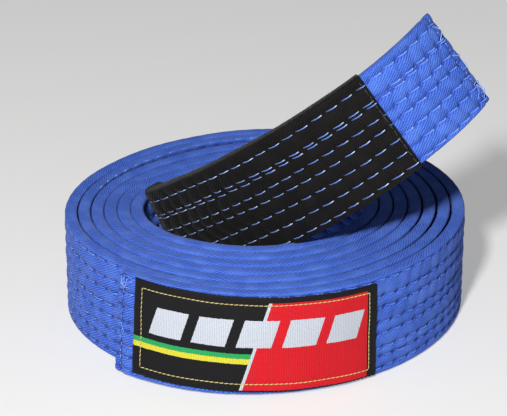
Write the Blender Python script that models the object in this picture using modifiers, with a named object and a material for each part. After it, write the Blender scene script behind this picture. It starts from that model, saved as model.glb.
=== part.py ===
"""A quilted grappling belt, rolled on its edge with the rank-bar end pulled out of the middle.

The belt is one long strip. A path gives, for every distance along it, where its middle line runs
and which way its width and its outer face point. Each sub-part is a flat grid of cloth carried
along a stretch of that path and given its wall by a Solidify modifier.
Along the belt, s is the distance from the loose label end; v runs across the width, upwards in
the roll; d runs out of the outer face.
"""

import math

import bmesh
import bpy
import numpy as np

# Driving dimensions: metres, degrees and turns.
WIDTH = 0.040
THICKNESS = 0.0045
COVER_WALL = 0.0007
CORE_WIDTH = 0.0378
CORE_LAYER = 0.0011
SEAM_SLIT = 0.0008
GAP = 0.0003
BAR_WALL = 0.0005
THREAD = 0.0004
THREAD_WIDTH = 0.0008

# The roll.
ROLL_CENTRE = (-0.00376, 0.00255)
ROLL_RADIUS = 0.0792
START_ANGLE = -135.0
WOUND_ANGLE = 2421.0
TURN_PITCH = 0.0053
TURN_DRIFT = 0.000255
OVAL, LOPSIDED, SQUARISH = 0.0020, -0.0006, 0.0005
SLACK, SLACK_ANGLE, SLACK_HALF = 0.0075, 112.0, 62.0
SLACK_FROM_TURN, SLACK_OVER_TURNS, SLACK_EARLY = 1.9, 4.3, 0.5
LEAN_AT_END, LEAN_OVER = 4.0, 75.0
LEAVING_ANGLE, LEAVING_INWARD, LEAVING_UPWARD = 80.0, 0.0030, 0.0040
STATIONS_PER_TURN = 24
INNER_TURN_FROM, RISE_FROM = 2085.0, 2385.0

# The tail, from where the wound part ends. Curls are in 1/m, slants are tangents.
ROLL_CURL = 27.0
BEND_ANGLE, BEND_AT, BEND_SPREAD = 60.4, 0.0281, 0.0050
RUN_CURL_START, RUN_CURL_END, RUN_LENGTH = 1.2, 22.5, 0.160
BEND_SLANT, SLANT_FROM, SLANT_OVER = 0.595, -0.0066, 0.023
RUN_SLANT, EASE_FROM, EASE_OVER = 0.177, 0.0176, 0.017
TIP_SLANT, TIP_SLANT_OVER = -0.032, 0.140
BAR_START, TAIL_FLEX, BAR_END = 0.0270, 0.0960, 0.1472
TIP_FLEX, TAIL_END = 0.1515, 0.1852

# The label end.
LABEL_FROM, LABEL_TO, LABEL_FLEX = 0.0110, 0.1040, 0.1100
LABEL_LOW, LABEL_HIGH = -0.0180, 0.0185
LABEL_WALL = 0.0006
BORDER_INSET = 0.0030
END_SEAM_INSET = 0.0040
FLEX_CLEARANCE = 0.0013

QUILT_ROWS = 8
OUTER_ROW = 0.0170
QUILT_END_SHORT = 0.0060
SEAM_REACH = 0.0180
BAR_SEAM_INSET = 0.0010

PATH_STEP = 0.0005
BEND_STEP, RUN_STEP, SHORTEST = 0.0020, 0.010, 0.0012
STATIONS_LEAD = 0.001
SETTLING_ROUNDS = 30

BLUE = (0.045, 0.14, 0.62)
BLACK = (0.012, 0.011, 0.010)
PADDING = (0.80, 0.78, 0.72)
THREAD_BLUE = (0.20, 0.36, 0.80)
THREAD_GOLD = (0.72, 0.56, 0.20)
LABEL_GROUND = (0.020, 0.020, 0.022)


def smooth(x):
    x = np.clip(x, 0.0, 1.0)
    return x * x * (3.0 - 2.0 * x)


def roll_radius(turned):
    """Radius of the middle of the strip after this many degrees of winding."""
    turns = turned / 360.0
    theta = math.radians(START_ANGLE + turned)
    around = (math.degrees(theta) + 180.0) % 360.0 - 180.0
    shape = (
        OVAL * math.sin(2.0 * theta)
        + LOPSIDED * math.cos(3.0 * theta)
        + SQUARISH * math.cos(4.0 * theta)
    )
    wound = (TURN_PITCH + TURN_DRIFT * math.cos(theta)) * turns
    away = np.clip((around - SLACK_ANGLE) / SLACK_HALF, -1.0, 1.0)
    bulge = 0.5 * (1.0 + math.cos(math.pi * away))
    share = np.clip((turns - SLACK_FROM_TURN) / SLACK_OVER_TURNS, 0.0, 1.0)
    slack = SLACK * bulge * share ** SLACK_EARLY
    leaving = smooth((turned - WOUND_ANGLE) / LEAVING_ANGLE + 1.0)
    lean_room = 0.5 * WIDTH * math.sin(lean(turned))
    return (
        ROLL_RADIUS - 0.5 * THICKNESS + shape - wound
        - slack - LEAVING_INWARD * leaving + lean_room
    )


def lean(turned):
    return math.radians(LEAN_AT_END) * (1.0 - smooth(turned / LEAN_OVER))


def roll_point(turned):
    theta = math.radians(START_ANGLE + turned)
    radius = roll_radius(turned)
    height = 0.5 * WIDTH * math.cos(lean(turned)) + 0.5 * THICKNESS * math.sin(lean(turned))
    height += LEAVING_UPWARD * smooth((turned - WOUND_ANGLE) / LEAVING_ANGLE + 1.0)
    return np.array([
        ROLL_CENTRE[0] + radius * math.cos(theta),
        ROLL_CENTRE[1] + radius * math.sin(theta),
        height,
    ])


def unit(vector):
    return vector / np.linalg.norm(vector)


def turned_about(vector, axis, angle):
    return (
        vector * math.cos(angle)
        + np.cross(axis, vector) * math.sin(angle)
        + axis * (axis @ vector) * (1.0 - math.cos(angle))
    )


def tail_curl(s):
    """How sharply the strip turns at this distance along the tail."""
    past_bend = smooth((s - BEND_AT) / (2.0 * BEND_SPREAD) + 0.5)
    share = np.clip((s - BEND_AT) / RUN_LENGTH, 0.0, 1.0)
    run = RUN_CURL_START + (RUN_CURL_END - RUN_CURL_START) * share
    bend = math.radians(BEND_ANGLE) / (BEND_SPREAD * math.sqrt(2.0 * math.pi))
    bend *= math.exp(-0.5 * ((s - BEND_AT) / BEND_SPREAD) ** 2)
    return ROLL_CURL * (1.0 - past_bend) + run * past_bend + bend


def slant(s):
    """Tangent of the angle between the line that the strip bends about and its width."""
    eased = smooth((s - EASE_FROM) / EASE_OVER)
    share = np.clip((s - EASE_FROM - EASE_OVER) / TIP_SLANT_OVER, 0.0, 1.0)
    run = RUN_SLANT + (TIP_SLANT - RUN_SLANT) * share
    return BEND_SLANT * smooth((s - SLANT_FROM) / SLANT_OVER) * (1.0 - eased) + run * eased


def walk_path():
    """Rows of s, point, along, across and slant, and the s at each degree of winding."""
    rows = []
    s = 0.0
    step = 1.0
    turned_values = np.arange(0.0, WOUND_ANGLE + 0.5 * step, step)
    roll_s = []
    last = roll_point(0.0)
    for turned in turned_values:
        point = roll_point(turned)
        along = unit(roll_point(turned + 0.01) - roll_point(turned - 0.01))
        outward = unit(np.cross(along, (0.0, 0.0, 1.0)))
        upward = np.cross(outward, along)
        across = upward * math.cos(lean(turned)) - outward * math.sin(lean(turned))
        s += float(np.linalg.norm(point - last))
        rows.append((s, point, along, across))
        roll_s.append(s)
        last = point
    along[2] = 0.0
    along = unit(along)
    across = np.array([0.0, 0.0, 1.0])
    point = rows[-1][1]
    distance = 0.0
    while distance < TAIL_END + WIDTH:
        curl = tail_curl(distance)
        axis = across + slant(distance) * along
        angle = curl * PATH_STEP * float(np.linalg.norm(axis))
        axis = unit(axis)
        next_along = turned_about(along, axis, angle)
        across = turned_about(across, axis, angle)
        point = point + 0.5 * (along + next_along) * PATH_STEP
        along = next_along
        distance += PATH_STEP
        rows.append((s + distance, point, along, across))
    return rows, np.array(roll_s), s


ROWS, ROLL_S, ROLL_END = walk_path()
PATH_S = np.array([row[0] for row in ROWS])
PATH_POINT = np.array([row[1] for row in ROWS])
PATH_ALONG = np.array([row[2] for row in ROWS])
PATH_ACROSS = np.array([row[3] for row in ROWS])


def read_path(values, s):
    return np.array([np.interp(s, PATH_S, values[:, i]) for i in range(3)])


def place(s, v, d, square=0.0):
    """A point of the belt. With square 0 the line across it is the line that it bends about,
    and with square 1 it is square to the belt's length."""
    at = s
    for _ in range(SETTLING_ROUNDS):
        at = 0.5 * (at + s - v * slant(at - ROLL_END) * square)
    along = unit(read_path(PATH_ALONG, at))
    across = unit(read_path(PATH_ACROSS, at))
    outward = np.cross(along, across)
    ruled = across + slant(at - ROLL_END) * along
    return read_path(PATH_POINT, at) + v * ruled + d * outward


def stations(start, end):
    """Distances from start to end: even angles in the roll, and closer where the tail bends."""
    found = [start]
    per = 360.0 / STATIONS_PER_TURN
    for index in range(1, int(WOUND_ANGLE / per) + 1):
        s = ROLL_S[int(round(index * per))]
        if start + SHORTEST < s < min(end, ROLL_END) - SHORTEST:
            found.append(s)
    s = max(start, ROLL_END - STATIONS_LEAD)
    while s < end:
        s += BEND_STEP if s < ROLL_END + BEND_AT + 0.5 * WIDTH else RUN_STEP
        if s < end - SHORTEST:
            found.append(s)
    return found + [end]


def material(name, color, roughness, metallic=0.0):
    made = bpy.data.materials.new(name)
    made.use_nodes = True
    shader = made.node_tree.nodes["Principled BSDF"]
    shader.inputs["Base Color"].default_value = (*color, 1.0)
    shader.inputs["Roughness"].default_value = roughness
    shader.inputs["Metallic"].default_value = metallic
    made.diffuse_color = (*color, 1.0)
    return made


def carried_grid(along_values, profile, squares):
    """A grid of cloth whose columns lie at along_values and whose rows follow the profile."""
    columns, rows = len(along_values), len(profile)
    bm = bmesh.new()
    bmesh.ops.create_grid(bm, x_segments=columns - 1, y_segments=rows - 1, size=0.5)
    grid = {}
    for vert in bm.verts:
        i = round((vert.co.x + 0.5) * (columns - 1))
        j = round((vert.co.y + 0.5) * (rows - 1))
        share = i / max(columns - 1, 1)
        square = squares[0] + (squares[1] - squares[0]) * share
        v, d = profile[j]
        vert.co = place(along_values[i], v, d, square)
        grid[i, j] = vert
    return bm, grid


def add_piece(name, bm, wall, finish, collection):
    mesh = bpy.data.meshes.new(name)
    bm.to_mesh(mesh)
    bm.free()
    mesh.materials.append(finish)
    piece = bpy.data.objects.new(name, mesh)
    collection.objects.link(piece)
    shell = piece.modifiers.new("wall", "SOLIDIFY")
    shell.thickness = wall
    shell.offset = 0.0
    shell.use_even_offset = True
    return piece


def folded(half_width, half_depth, slit, across_steps=1):
    """Round the core and back, from one side of the slit on the inner face to the other."""
    turns = [(-0.5 * slit, -half_depth), (-half_width, -half_depth), (-half_width, half_depth)]
    profile = []
    for (v0, d0), (v1, d1) in zip(turns, turns[1:]):
        steps = across_steps if v0 != v1 else 1
        profile += [
            (v0 + (v1 - v0) * k / steps, d0 + (d1 - d0) * k / steps) for k in range(steps)
        ]
    steps = 2 * across_steps if across_steps > 1 else 1
    profile += [
        (-half_width + 2.0 * half_width * k / steps, half_depth) for k in range(steps)
    ]
    return profile + [(-v, d) for v, d in reversed(profile[: across_steps + 2])]


def add_strip(name, start, end, profile, wall, finish, collection, squares=(0.0, 0.0)):
    bm, _ = carried_grid(stations(start, end), profile, squares)
    return add_piece(name, bm, wall, finish, collection)


def flat(low, high, depth, steps=1):
    return [(low + (high - low) * k / steps, depth) for k in range(steps + 1)]


def add_cover_and_core(stretch, start, end, squares, finishes, collection):
    half_depth = 0.5 * (THICKNESS - COVER_WALL)
    profile = folded(0.5 * (WIDTH - COVER_WALL), half_depth, SEAM_SLIT)
    add_strip(
        "cover_" + stretch, start, end, profile, COVER_WALL, finishes["blue"], collection, squares
    )
    depth = 0.5 * (GAP + CORE_LAYER)
    ends = [
        start + (GAP if squares[0] else 0.0),
        end - (GAP + COVER_WALL if squares[1] else 0.0),
    ]
    for side, sign in (("front", 1.0), ("back", -1.0)):
        layer = flat(-0.5 * CORE_WIDTH, 0.5 * CORE_WIDTH, sign * depth)
        add_strip(
            f"core_{side}_{stretch}", *ends, layer, CORE_LAYER,
            finishes["padding"], collection, squares,
        )


def add_frame(name, start, end, low, high, depth, width, finish, collection):
    """A stitched border: a grid of cloth with its middle taken out."""
    inner = stations(start + width, end - width)[1:-1]
    columns = [start, start + width, *inner, end - width, end]
    profile = [(low, depth), (low + width, depth), (high - width, depth), (high, depth)]
    bm, grid = carried_grid(columns, profile, (0.0, 0.0))
    middle = []
    for i in range(1, len(columns) - 2):
        corners = {grid[i, 1], grid[i + 1, 1], grid[i + 1, 2], grid[i, 2]}
        middle += [face for face in grid[i, 1].link_faces if set(face.verts) == corners]
    bmesh.ops.delete(bm, geom=middle, context="FACES")
    add_piece(name, bm, THREAD, finish, collection)


def add_quilting(stretch, start, end, face_depth, squares, finish, collection):
    depth = face_depth + GAP + 0.5 * THREAD
    for row in range(QUILT_ROWS):
        v = OUTER_ROW * (1.0 - 2.0 * row / (QUILT_ROWS - 1))
        profile = flat(v - 0.5 * THREAD_WIDTH, v + 0.5 * THREAD_WIDTH, depth)
        add_strip(
            f"quilt_row_{row + 1}_{stretch}", start, end, profile, THREAD,
            finish, collection, squares,
        )


def add_cross_seam(name, s, face_depth, square, finish, collection):
    profile = flat(-SEAM_REACH, SEAM_REACH, face_depth + GAP + 0.5 * THREAD, 2)
    ends = (s - 0.5 * THREAD_WIDTH, s + 0.5 * THREAD_WIDTH)
    bm, _ = carried_grid(ends, profile, (square, square))
    add_piece(name, bm, THREAD, finish, collection)


def build():
    for obj in list(bpy.data.objects):
        bpy.data.objects.remove(obj, do_unlink=True)
    collection = bpy.data.collections.new("martial_arts_belt")
    bpy.context.scene.collection.children.link(collection)
    finishes = {
        "blue": material("blue_twill", BLUE, 0.85),
        "black": material("black_twill", BLACK, 0.88),
        "padding": material("padding", PADDING, 0.95),
        "blue_thread": material("blue_thread", THREAD_BLUE, 0.55),
        "gold_thread": material("gold_thread", THREAD_GOLD, 0.45),
        "label": material("label_weave", LABEL_GROUND, 0.60),
    }
    face = 0.5 * THICKNESS
    bar_face = face + GAP + BAR_WALL
    tail_flex = ROLL_END + TAIL_FLEX
    tip_flex = ROLL_END + TIP_FLEX
    tail_end = ROLL_END + TAIL_END
    clear = FLEX_CLEARANCE

    inner_turn = ROLL_S[int(INNER_TURN_FROM)]
    rise = ROLL_S[int(RISE_FROM)]
    stretches = (
        ("label_end", 0.0, LABEL_FLEX - clear, (0.0, 0.0)),
        ("coil", LABEL_FLEX + clear, inner_turn, (0.0, 0.0)),
        ("inner_turn", inner_turn + GAP, rise, (0.0, 0.0)),
        ("rise", rise + GAP, tail_flex - clear, (0.0, 0.0)),
        ("tail", tail_flex + clear, tip_flex - clear, (0.0, 0.0)),
        ("tip", tip_flex + clear, tail_end, (0.0, 1.0)),
    )
    for stretch, start, end, squares in stretches:
        add_cover_and_core(stretch, start, end, squares, finishes, collection)

    bar_depth = face + GAP + 0.5 * BAR_WALL
    bar_profile = folded(0.5 * WIDTH + GAP + 0.5 * BAR_WALL, bar_depth, SEAM_SLIT, 5)
    bars = (
        ("rank_bar_inner", ROLL_END + BAR_START, tail_flex - clear, (1.0, 0.0)),
        ("rank_bar_outer", tail_flex + clear, ROLL_END + BAR_END, (0.0, 1.0)),
    )
    for name, start, end, squares in bars:
        add_strip(
            name, start, end, bar_profile, BAR_WALL, finishes["black"], collection, squares
        )
    inset = 0.5 * END_SEAM_INSET
    quilting = (
        ("inner", ROLL_END + BAR_START + inset, tail_flex - clear, bar_face, (1.0, 0.0)),
        ("outer", tail_flex + clear, ROLL_END + BAR_END - inset, bar_face, (0.0, 1.0)),
        ("tip", tip_flex + clear, tail_end - QUILT_END_SHORT, face, (0.0, 1.0)),
    )
    for stretch, start, end, depth, squares in quilting:
        add_quilting(
            stretch, start, end, depth, squares, finishes["blue_thread"], collection
        )

    label_depth = face + GAP + 0.5 * LABEL_WALL
    add_strip(
        "label", LABEL_FROM, LABEL_TO, flat(LABEL_LOW, LABEL_HIGH, label_depth, 2), LABEL_WALL,
        finishes["label"], collection,
    )
    add_frame(
        "label_thread", LABEL_FROM + BORDER_INSET, LABEL_TO - BORDER_INSET,
        LABEL_LOW + BORDER_INSET, LABEL_HIGH - BORDER_INSET,
        face + GAP + LABEL_WALL + GAP + 0.5 * THREAD, THREAD_WIDTH,
        finishes["gold_thread"], collection,
    )
    seams = (
        ("label_end_seam", END_SEAM_INSET, face, 0.0),
        ("tip_end_seam", tail_end - END_SEAM_INSET, face, 1.0),
        ("rank_bar_seam", ROLL_END + BAR_END - BAR_SEAM_INSET, bar_face, 1.0),
    )
    for name, s, depth, square in seams:
        add_cross_seam(name, s, depth, square, finishes["blue_thread"], collection)


build()
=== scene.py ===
import math

import bmesh
import bpy
import numpy as np
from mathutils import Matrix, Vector


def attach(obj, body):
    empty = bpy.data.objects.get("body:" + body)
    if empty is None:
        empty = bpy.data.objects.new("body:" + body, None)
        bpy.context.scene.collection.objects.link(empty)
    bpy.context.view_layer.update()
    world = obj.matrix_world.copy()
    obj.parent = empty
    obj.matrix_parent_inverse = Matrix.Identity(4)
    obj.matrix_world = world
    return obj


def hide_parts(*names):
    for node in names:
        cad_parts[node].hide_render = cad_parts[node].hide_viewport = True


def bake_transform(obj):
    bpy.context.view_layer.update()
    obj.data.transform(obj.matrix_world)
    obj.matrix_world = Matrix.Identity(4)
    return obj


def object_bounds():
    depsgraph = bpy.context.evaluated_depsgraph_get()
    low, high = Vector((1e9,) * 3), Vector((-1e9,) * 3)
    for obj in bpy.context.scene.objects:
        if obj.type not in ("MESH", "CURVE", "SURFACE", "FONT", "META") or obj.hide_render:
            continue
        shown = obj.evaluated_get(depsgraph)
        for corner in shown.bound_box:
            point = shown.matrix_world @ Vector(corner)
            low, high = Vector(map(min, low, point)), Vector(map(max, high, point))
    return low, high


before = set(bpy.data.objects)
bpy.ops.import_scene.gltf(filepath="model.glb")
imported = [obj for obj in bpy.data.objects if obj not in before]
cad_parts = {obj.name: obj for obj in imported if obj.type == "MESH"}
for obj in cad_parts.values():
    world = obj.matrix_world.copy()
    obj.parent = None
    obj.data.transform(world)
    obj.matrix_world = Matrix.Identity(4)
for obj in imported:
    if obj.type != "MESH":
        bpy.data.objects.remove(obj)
cadLow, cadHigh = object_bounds()
print("frame loaded")

# The line that the belt follows, in metres, degrees and turns, close to the one in the CAD source.
# s runs along the belt from the label end, v across it, upwards in the roll, and d out of its outer face.
belt = {
    "width": 0.040, "thickness": 0.0045,
    "centre": (-0.00376, 0.00255), "radius": 0.0792, "startAngle": -135.0, "wound": 2421.0,
    "pitch": 0.0053, "drift": 0.000255,
    "oval": 0.0020, "lopsided": -0.0006, "squarish": 0.0005,
    "slack": 0.0075, "slackAngle": 112.0, "slackHalf": 62.0,
    "slackFrom": 1.9, "slackOver": 4.3, "slackEarly": 0.5,
    "lean": 5.2, "leanOver": 75.0,
    "leavingAngle": 80.0, "leavingInward": 0.0030, "leavingUpward": 0.0040,
    "rollCurl": 27.0, "bendAngle": 60.4, "bendAt": 0.0281, "bendSpread": 0.0050,
    "runCurlStart": 1.2, "runCurlEnd": 22.5, "runLength": 0.160,
    "bendSlant": 0.595, "slantFrom": -0.0066, "slantOver": 0.023,
    "runSlant": 0.177, "easeFrom": 0.0176, "easeOver": 0.017,
    "tipSlant": -0.032, "tipSlantOver": 0.140,
    "coverStart": 0.0045, "labelFlex": 0.1100,
    "barStart": 0.0270, "barEnd": 0.1472, "tipFlex": 0.1515, "tailEnd": 0.1868,
    "frontRise": 0.00052, "frontAngle": -95.0, "frontHalf": 52.0, "risingTurns": 5.0,
    "startRise": 0.0010, "startReach": 0.050,
    "turnStep": 0.5, "turnNudge": 0.01, "tailStep": 0.0005, "settlingSteps": 24,
}


def smooth(x):
    x = np.clip(x, 0.0, 1.0)
    return x * x * (3.0 - 2.0 * x)


def units(rows):
    return rows / np.linalg.norm(rows, axis=-1, keepdims=True)


def leanAt(turned):
    return math.radians(belt["lean"]) * (1.0 - smooth(turned / belt["leanOver"]))


def rollPoints(turned):
    turns = turned / 360.0
    theta = np.radians(belt["startAngle"] + turned)
    around = (np.degrees(theta) + 180.0) % 360.0 - 180.0
    shape = belt["oval"] * np.sin(2.0 * theta) + belt["lopsided"] * np.cos(3.0 * theta)
    shape += belt["squarish"] * np.cos(4.0 * theta)
    woundIn = (belt["pitch"] + belt["drift"] * np.cos(theta)) * turns
    away = np.clip((around - belt["slackAngle"]) / belt["slackHalf"], -1.0, 1.0)
    share = np.clip((turns - belt["slackFrom"]) / belt["slackOver"], 0.0, 1.0)
    slack = belt["slack"] * 0.5 * (1.0 + np.cos(np.pi * away)) * share ** belt["slackEarly"]
    leaving = smooth((turned - belt["wound"]) / belt["leavingAngle"] + 1.0)
    lean = leanAt(turned)
    radius = belt["radius"] - 0.5 * belt["thickness"] + shape - woundIn - slack
    radius += 0.5 * belt["width"] * np.sin(lean) - belt["leavingInward"] * leaving
    height = 0.5 * belt["width"] * np.cos(lean) + 0.5 * belt["thickness"] * np.sin(lean)
    return np.stack([
        belt["centre"][0] + radius * np.cos(theta),
        belt["centre"][1] + radius * np.sin(theta),
        height + belt["leavingUpward"] * leaving,
    ], axis=-1)


def turnedAbout(vector, axis, angle):
    return (
        vector * math.cos(angle)
        + np.cross(axis, vector) * math.sin(angle)
        + axis * (axis @ vector) * (1.0 - math.cos(angle))
    )


def tailCurl(s):
    pastBend = smooth((s - belt["bendAt"]) / (2.0 * belt["bendSpread"]) + 0.5)
    share = np.clip((s - belt["bendAt"]) / belt["runLength"], 0.0, 1.0)
    run = belt["runCurlStart"] + (belt["runCurlEnd"] - belt["runCurlStart"]) * share
    bend = math.radians(belt["bendAngle"]) / (belt["bendSpread"] * math.sqrt(2.0 * math.pi))
    bend *= math.exp(-0.5 * ((s - belt["bendAt"]) / belt["bendSpread"]) ** 2)
    return belt["rollCurl"] * (1.0 - pastBend) + run * pastBend + bend


def slantAt(s):
    eased = smooth((s - belt["easeFrom"]) / belt["easeOver"])
    share = np.clip((s - belt["easeFrom"] - belt["easeOver"]) / belt["tipSlantOver"], 0.0, 1.0)
    run = belt["runSlant"] + (belt["tipSlant"] - belt["runSlant"]) * share
    bend = belt["bendSlant"] * smooth((s - belt["slantFrom"]) / belt["slantOver"])
    return bend * (1.0 - eased) + run * eased


def walkPath():
    # The roll by formula, then the tail step by step from where it leaves the roll
    nudge = belt["turnNudge"]
    turned = np.arange(0.0, belt["wound"] + nudge, belt["turnStep"])
    points = rollPoints(turned)
    along = units(rollPoints(turned + nudge) - rollPoints(turned - nudge))
    outward = units(np.cross(along, (0.0, 0.0, 1.0)))
    lean = leanAt(turned)[:, None]
    across = np.cross(outward, along) * np.cos(lean) - outward * np.sin(lean)
    s = np.concatenate([[0.0], np.cumsum(np.linalg.norm(np.diff(points, axis=0), axis=1))])
    point, side = points[-1], np.array([0.0, 0.0, 1.0])
    forward = units(along[-1] * (1.0, 1.0, 0.0))
    tail = []
    distance = 0.0
    while distance < belt["tailEnd"] + belt["width"]:
        axis = side + slantAt(distance) * forward
        angle = tailCurl(distance) * belt["tailStep"] * float(np.linalg.norm(axis))
        axis = units(axis)
        onward = turnedAbout(forward, axis, angle)
        side = turnedAbout(side, axis, angle)
        point = point + 0.5 * (forward + onward) * belt["tailStep"]
        forward = onward
        distance += belt["tailStep"]
        tail.append((s[-1] + distance, point, forward, side))
    return (
        turned, s, np.concatenate([s, [row[0] for row in tail]]),
        np.concatenate([points, [row[1] for row in tail]]),
        np.concatenate([along, [row[2] for row in tail]]),
        np.concatenate([across, [row[3] for row in tail]]),
    )


turnedValues, turnedS, pathS, pathPoint, pathAlong, pathAcross = walkPath()
rollEnd = turnedS[-1]
beltEnd = rollEnd + belt["tailEnd"]


def sAtTurn(turned):
    return float(np.interp(turned, turnedValues, turnedS))


def turnAt(s):
    return np.interp(s, turnedS, turnedValues)


def readPath(rows, s):
    return np.stack([np.interp(s, pathS, rows[:, i]) for i in range(3)], axis=-1)


def riseAt(s):
    # The inner turns stand a little higher at the front, and so does the label end
    turned = turnAt(s)
    around = (belt["startAngle"] + turned - belt["frontAngle"] + 180.0) % 360.0 - 180.0
    inner = np.clip(turned / 360.0 - 1.0, 0.0, belt["risingTurns"])
    front = belt["frontRise"] * inner * np.exp(-(around / belt["frontHalf"]) ** 2)
    return front + belt["startRise"] * np.exp(-s / belt["startReach"])


def laid(s, v, d):
    # A point of the cloth, where s and v are measured on the flat belt
    at = np.array(s, float)
    v = v + riseAt(at)
    for _ in range(belt["settlingSteps"]):
        at = 0.5 * (at + s - v * slantAt(at - rollEnd))
    along = units(readPath(pathAlong, at))
    across = units(readPath(pathAcross, at))
    ruled = across + slantAt(at - rollEnd)[:, None] * along
    return readPath(pathPoint, at) + v[:, None] * ruled + d[:, None] * np.cross(along, across)


# The eight rows of quilting: how far down the width each one runs, at the label end and at the bar.
quilting = {
    "atLabel": (0.045, 0.207, 0.330, 0.483, 0.585, 0.729, 0.827, 0.940),
    "atBar": (0.096, 0.250, 0.285, 0.420, 0.525, 0.675, 0.810, 0.950),
    "changeRate": 1.4, "changeFrom": 0.35,
    "stitch": 0.0063, "wander": 0.00021, "wanderLong": 0.031, "wanderShort": 0.0113, "shortShare": 0.6,
    "sawtooth": 0.0005, "crease": 0.00120, "creaseReach": 0.00085, "holeShare": 0.12,
    "pit": 0.00020, "pitReach": 0.0007, "pucker": 0.00026, "uneven": 0.00013, "smallestGap": 0.0001,
    "calmFrom": 0.0172, "calmOver": 0.0020, "calmShare": 0.85, "calmCrease": 0.65,
    "shadeInCrease": 1.1, "creaseShadePower": 1.6, "shadeInPit": 0.2, "shadeInPucker": 0.08,
    "seed": 7, "cushions": 600,
}
rowCount = len(quilting["atLabel"])
draw = np.random.default_rng(quilting["seed"])
rowPhase = draw.uniform(0.0, 1.0, rowCount)
rowWaves = draw.uniform(0.0, 2.0 * math.pi, (rowCount, 3))
cushionHeight = draw.uniform(-1.0, 1.0, (rowCount + 1, quilting["cushions"]))


def rowPlaces(s):
    share = smooth(s / rollEnd * quilting["changeRate"] - quilting["changeFrom"])
    down = np.outer(quilting["atLabel"], 1.0 - share) + np.outer(quilting["atBar"], share)
    drift = np.sin(s[None] / quilting["wanderLong"] + rowWaves[:, :1])
    drift += quilting["shortShare"] * np.sin(s[None] / quilting["wanderShort"] + rowWaves[:, 1:2])
    return belt["width"] * (0.5 - down) + quilting["wander"] * drift


def quiltDepth(s, v, amount):
    # How far the stitching pulls the cloth in, and how much painted shade its creases, needle holes and
    # puckers get
    rows = rowPlaces(s)
    count = s[None] / quilting["stitch"] + rowPhase[:, None]
    part = count - np.floor(count)
    nearHole = np.minimum(part, 1.0 - part) * quilting["stitch"]
    away = np.abs(v[None] - rows - quilting["sawtooth"] * (0.5 - part))
    hole = np.exp(-(nearHole / quilting["pitReach"]) ** 2)
    crease = np.exp(-away / quilting["creaseReach"])
    crease *= 1.0 - quilting["holeShare"] + quilting["holeShare"] * hole
    pit = hole * np.exp(-(away / quilting["pitReach"]) ** 2)
    crease, pit = crease.max(0), pit.max(0)
    # The cushion that the point is on, between the row above it and the row below it
    band = (v[None] < rows).sum(0)
    above, below = np.clip(band - 1, 0, rowCount - 1), np.clip(band, 0, rowCount - 1)
    pick = np.arange(len(s))
    gap = np.maximum(rows[above, pick] - rows[below, pick], quilting["smallestGap"])
    down = np.where(above == below, 0.0, np.clip((rows[above, pick] - v) / gap, 0.0, 1.0))
    step = rowPhase[below] - rowPhase[above]
    step = step - np.round(step)
    between = count[above, pick] + down * step
    pucker = (0.5 + 0.5 * np.cos(2.0 * math.pi * between)) ** 2
    index = np.floor(between).astype(int) % quilting["cushions"]
    following = (index + 1) % quilting["cushions"]
    mix = smooth(between - np.floor(between))
    rough = cushionHeight[band, index] * (1.0 - mix) + cushionHeight[band, following] * mix
    calm = 1.0 - quilting["calmShare"] * smooth((np.abs(v) - quilting["calmFrom"]) / quilting["calmOver"])
    depth = quilting["crease"] * crease * (1.0 - quilting["calmCrease"] + quilting["calmCrease"] * calm)
    depth += (quilting["pit"] * pit + quilting["pucker"] * pucker + quilting["uneven"] * rough) * calm
    # Painted shade: darker in the creases, at the needle holes and in the puckers
    creaseShade = quilting["shadeInCrease"] * crease ** quilting["creaseShadePower"] + quilting["shadeInPit"] * pit
    creaseShade += quilting["shadeInPucker"] * pucker * calm
    return depth * amount, np.clip(creaseShade, 0.0, 1.0) * amount


# The cross-section of the padded strip, and how its folded ends are pressed thin and seamed.
padding = {
    "half": 0.00258, "foldReach": 0.0017, "foldRound": 0.58, "foldRows": 9,
    "edgeWave": 0.00012, "edgeLong": 0.017, "edgeShort": 0.0061, "edgeFrom": 0.017, "edgeOver": 0.002,
    "endTaper": 0.0070, "endThin": 0.62, "endClose": 0.0014, "endLip": 0.04, "endStep": 0.0003, "endSteps": 4,
    "labelSeam": 0.0036, "tipSeam": 0.0042, "seamReach": 0.0007, "seamPress": 0.0005, "seamShade": 0.6,
    "clothUnits": 10.0, "weld": 1e-7,
}
labelSeamAt = belt["coverStart"] + padding["labelSeam"]
tipSeamAt = beltEnd - padding["tipSeam"]


def crossSection(half, outerRows, innerRows):
    # Round the strip from the middle of its inner face: places, outward directions and widths from the middle
    reach, foldRound = padding["foldReach"], padding["foldRound"]
    flat = 0.5 * belt["width"] - reach
    angles = np.linspace(-90.0, 90.0, padding["foldRows"] + 2)[1:-1]
    cos, sin = np.cos(np.radians(angles)), np.sin(np.radians(angles))
    bulge = np.abs(cos) ** foldRound
    rise = np.sign(sin) * np.abs(sin) ** foldRound
    innerHalf = np.linspace(0.0, flat, innerRows // 2 + 1)
    v = np.concatenate([
        -innerHalf, -(flat + reach * bulge), np.linspace(-flat, flat, outerRows + 1),
        (flat + reach * bulge), innerHalf[::-1],
    ])
    d = np.concatenate([
        np.full(len(innerHalf), -half), half * rise, np.full(outerRows + 1, half),
        half * rise[::-1], np.full(len(innerHalf), -half),
    ])
    arc = np.concatenate([[0.0], np.cumsum(np.hypot(np.diff(v), np.diff(d)))])
    ahead = np.stack([np.gradient(v), np.gradient(d)])
    ahead = ahead / np.maximum(np.linalg.norm(ahead, axis=0), 1e-9)
    middle = 0.5 * arc[-1]
    onInner = np.where(arc < middle, -arc, arc[-1] - arc)
    fromMiddle = np.where(np.abs(arc - middle) < 0.5 * middle, arc - middle, onInner)
    return v, d, arc, -ahead[1], ahead[0], fromMiddle


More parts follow.
